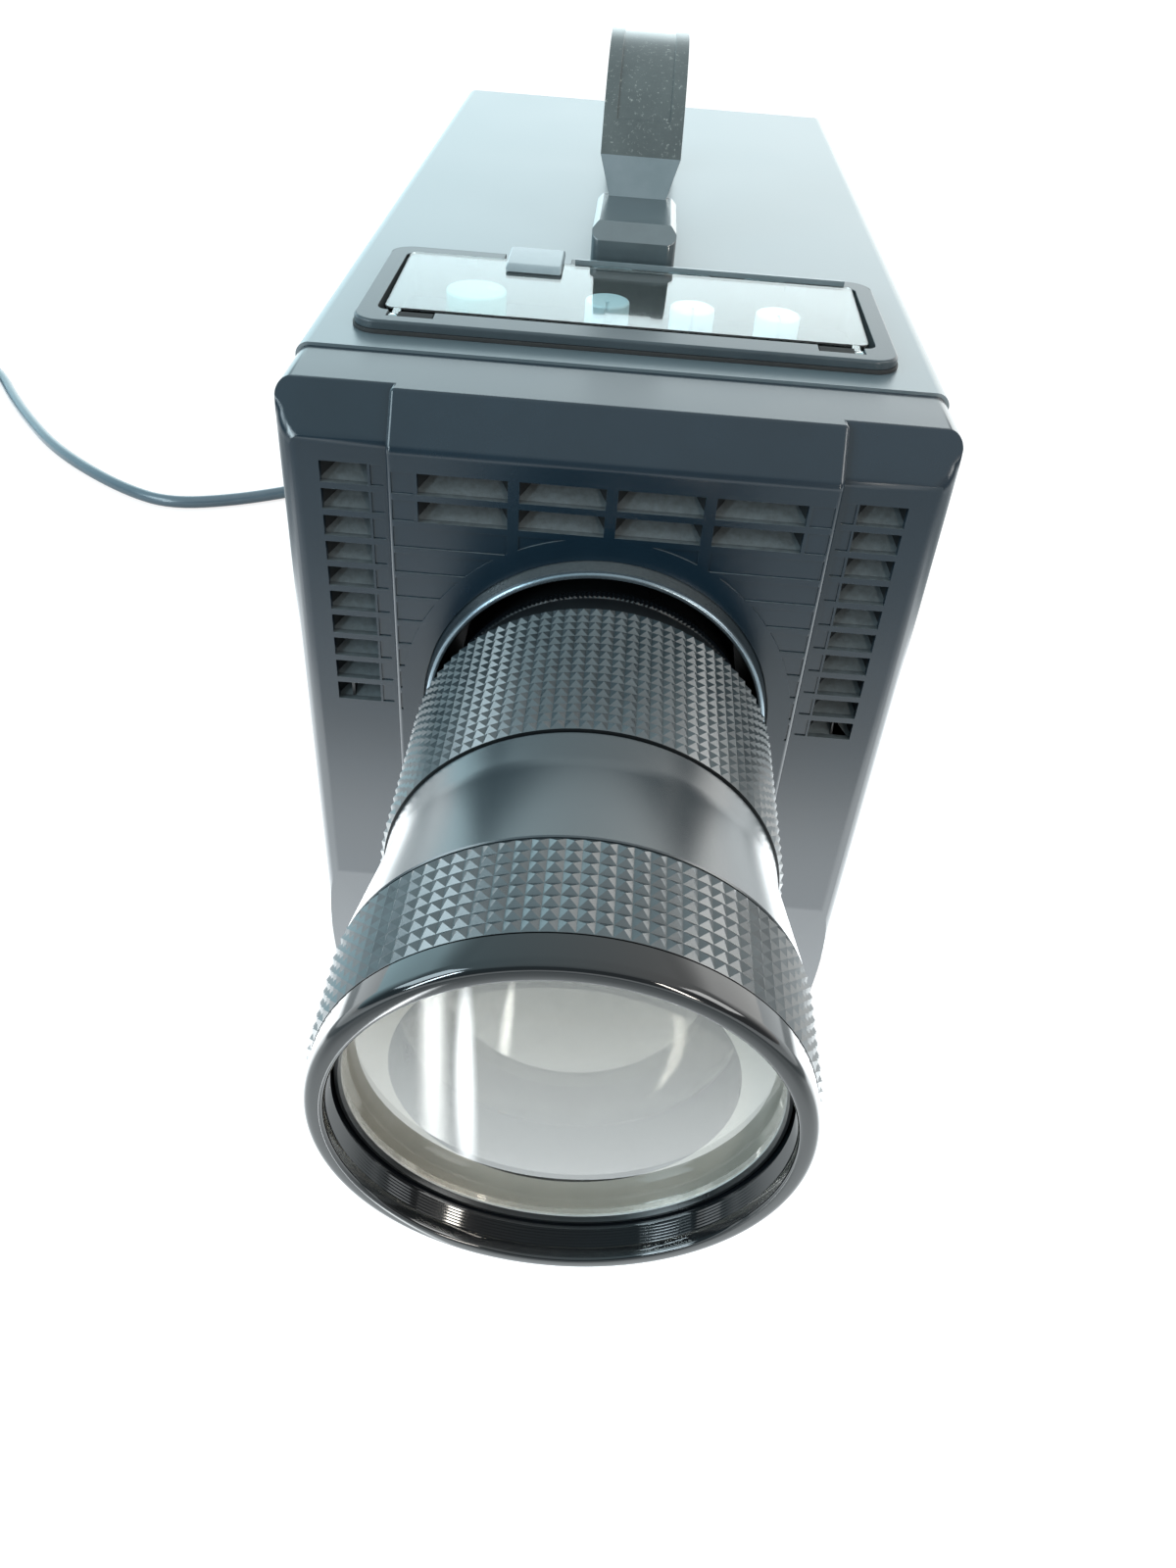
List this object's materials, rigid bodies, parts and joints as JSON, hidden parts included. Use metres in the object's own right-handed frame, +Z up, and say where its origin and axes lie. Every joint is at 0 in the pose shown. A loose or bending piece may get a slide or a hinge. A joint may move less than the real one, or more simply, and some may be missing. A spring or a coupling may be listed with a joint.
{
  "type": "video projector",
  "caption": "Boxy video projector with a large ribbed zoom lens, louvred front, sunk control panel under a clear hinged lid, bowed carrying handle and mains lead.",
  "frame": {"origin": "on the table, under the middle of the projector's overall length and width, the mains lead left out", "axes": "+Z up, +Y from the lens to the back, +X to the right for a viewer who faces the lens"},
  "size_m": [0.8167, 1.0112, 0.363],
  "materials": {
    "cover_paint": "satin grey paint",
    "bezel_plastic": "dark blue-grey, fine texture",
    "louvre_plastic": "grey, dusty",
    "black_metal": "black, satin",
    "plated_steel": "zinc plated",
    "socket_metal": "bright",
    "foot_rubber": "matt black",
    "screw_steel": "plated",
    "tray_plastic": "dark grey, satin",
    "window_plastic": "pale, glossy",
    "hinge_plastic": "black",
    "lid_plastic": "clear, glossy",
    "tab_plastic": "grey",
    "button_plastic": "teal, glossy",
    "knob_plastic": "light blue-grey",
    "board_laminate": "green laminate",
    "handle_rubber": "grey, satin",
    "handle_plastic": "dark grey, glossy",
    "grip_rubber": "matt black",
    "lens_glass": "coated",
    "panel_glass": "flat",
    "mirror_glass": "front silvered",
    "cast_alloy": "as cast",
    "reflector_metal": "polished",
    "lamp_ceramic": "matt white",
    "cord_rubber": "black, satin",
    "pin_brass": "bright"
  },
  "bodies": {
    "projector": {"top_cover": "cover_paint", "front_bezel": "bezel_plastic", "louvre_columns": "louvre_plastic", "louvre_wide": "louvre_plastic", "lens_collar": "black_metal", "front_bulkhead": "plated_steel", "base_chassis": "plated_steel", "rear_panel": "bezel_plastic", "signal_sockets": "socket_metal", "rubber_feet": "foot_rubber", "foot_screws": "screw_steel", "case_screws": "screw_steel", "flange_screws": "screw_steel", "handle_screws": "screw_steel", "control_tray": "tray_plastic", "tray_gasket": "foot_rubber", "lamp_window": "window_plastic", "hinge_blocks": "hinge_plastic", "hinge_pins": "screw_steel", "control_switchgear": "hinge_plastic", "control_board": "board_laminate", "handle_strap": "handle_rubber", "handle_feet": "handle_plastic", "lens_tube": "black_metal", "barrel_sleeve": "black_metal", "rear_glass": "lens_glass", "optics_base": "cast_alloy", "prism_block": "lens_glass", "display_panels": "panel_glass", "mirrors": "mirror_glass", "heat_filter": "panel_glass", "lamp_housing": "cast_alloy", "lamp_reflector": "reflector_metal", "lamp_holder": "lamp_ceramic", "lamp_bulb": "lens_glass", "fan_frame": "hinge_plastic", "power_supply": "plated_steel", "main_board": "board_laminate", "cord_gland": "cord_rubber", "power_cord": "cord_rubber", "cord_coil": "cord_rubber", "cord_tail": "cord_rubber", "plug": "cord_rubber", "plug_pins": "pin_brass"},
    "lid": {"clear_lid": "lid_plastic", "lid_tab": "tab_plastic"},
    "button": {"power_button": "button_plastic"},
    "first_knob": {"knob_1": "knob_plastic"},
    "second_knob": {"knob_2": "knob_plastic"},
    "third_knob": {"knob_3": "knob_plastic"},
    "zoom_ring": {"zoom_core": "black_metal", "zoom_grip": "grip_rubber"},
    "zoom_group": {"zoom_cell": "black_metal", "zoom_glass": "lens_glass"},
    "focus_ring": {"focus_core": "black_metal", "focus_grip": "grip_rubber"},
    "front_group": {"front_cell": "black_metal", "front_glass": "lens_glass", "second_glass": "lens_glass"},
    "fan": {"fan_rotor": "hinge_plastic"}
  },
  "joints": [
    {"name": "lid_hinge", "type": "hinge", "parent": "projector", "child": "lid", "pos_m": [0, -0.0905, 0.2978], "axis": [1, 0, 0], "range_deg": [0, 110]},
    {"name": "button_press", "type": "slide", "parent": "projector", "child": "button", "axis": [0, 0, 1], "range_m": [-0.002, 0], "stiffness_N_per_m": 400, "springref_m": 0.0005},
    {"name": "knob_1_turn", "type": "hinge", "parent": "projector", "child": "first_knob", "pos_m": [-0.0078, -0.0535, 0.285], "axis": [0, 0, 1], "range_deg": [-140, 140]},
    {"name": "knob_2_turn", "type": "hinge", "parent": "projector", "child": "second_knob", "pos_m": [0.0237, -0.0535, 0.285], "axis": [0, 0, 1], "range_deg": [-140, 140]},
    {"name": "knob_3_turn", "type": "hinge", "parent": "projector", "child": "third_knob", "pos_m": [0.0554, -0.0535, 0.285], "axis": [0, 0, 1], "range_deg": [-140, 140]},
    {"name": "zoom_turn", "type": "hinge", "parent": "projector", "child": "zoom_ring", "pos_m": [0, -0.2, 0.183], "axis": [0, 1, 0], "range_deg": [-30, 30]},
    {"name": "zoom_travel", "type": "slide", "parent": "projector", "child": "zoom_group", "axis": [0, 1, 0], "range_m": [-0.01, 0.01]},
    {"name": "focus_turn", "type": "hinge", "parent": "projector", "child": "focus_ring", "pos_m": [0, -0.31, 0.183], "axis": [0, 1, 0], "range_deg": [-60, 60]},
    {"name": "focus_travel", "type": "slide", "parent": "projector", "child": "front_group", "axis": [0, 1, 0], "range_m": [-0.002, 0.002]},
    {"name": "fan_spin", "type": "hinge", "parent": "projector", "child": "fan", "pos_m": [0.045, 0.32, 0.19], "axis": [0, 1, 0], "continuous": true}
  ],
  "couplings": [
    {"joint": "zoom_travel", "follows": "zoom_turn", "m_per_rad": 0.019},
    {"joint": "focus_travel", "follows": "focus_turn", "m_per_rad": 0.0019}
  ]
}
